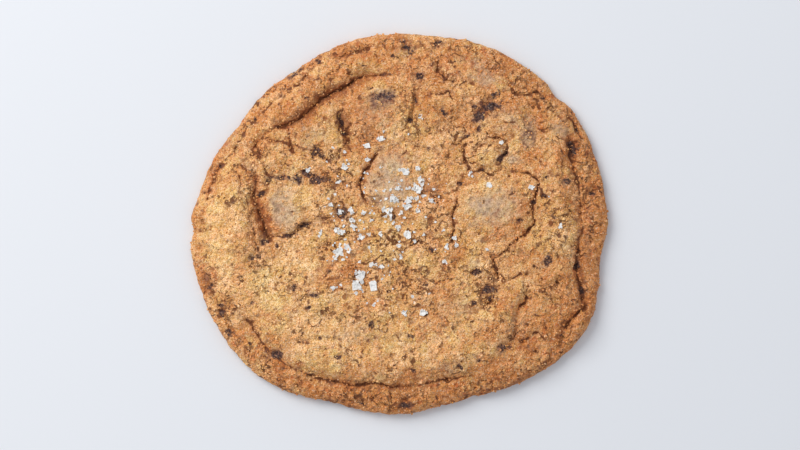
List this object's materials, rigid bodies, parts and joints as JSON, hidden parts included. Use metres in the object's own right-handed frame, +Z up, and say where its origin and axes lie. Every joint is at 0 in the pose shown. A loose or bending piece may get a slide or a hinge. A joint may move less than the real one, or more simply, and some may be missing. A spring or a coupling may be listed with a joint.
{
  "type": "chocolate chip cookie",
  "caption": "Large flat chocolate chip cookie with a rolled, folded rim, cracked crust over chocolate pieces and flaky salt baked onto the middle.",
  "frame": {"origin": "on the resting surface, under the middle of the cookie's outline", "axes": "+X across the widest line, to the right as the picture shows it; +Y to the edge with the deep fold; +Z up"},
  "size_m": [0.125, 0.1142, 0.0109],
  "materials": {
    "crust": "matte",
    "chocolate": "satin",
    "salt": "satin"
  },
  "bodies": {
    "root": {"cookie": "crust"}
  },
  "joints": []
}
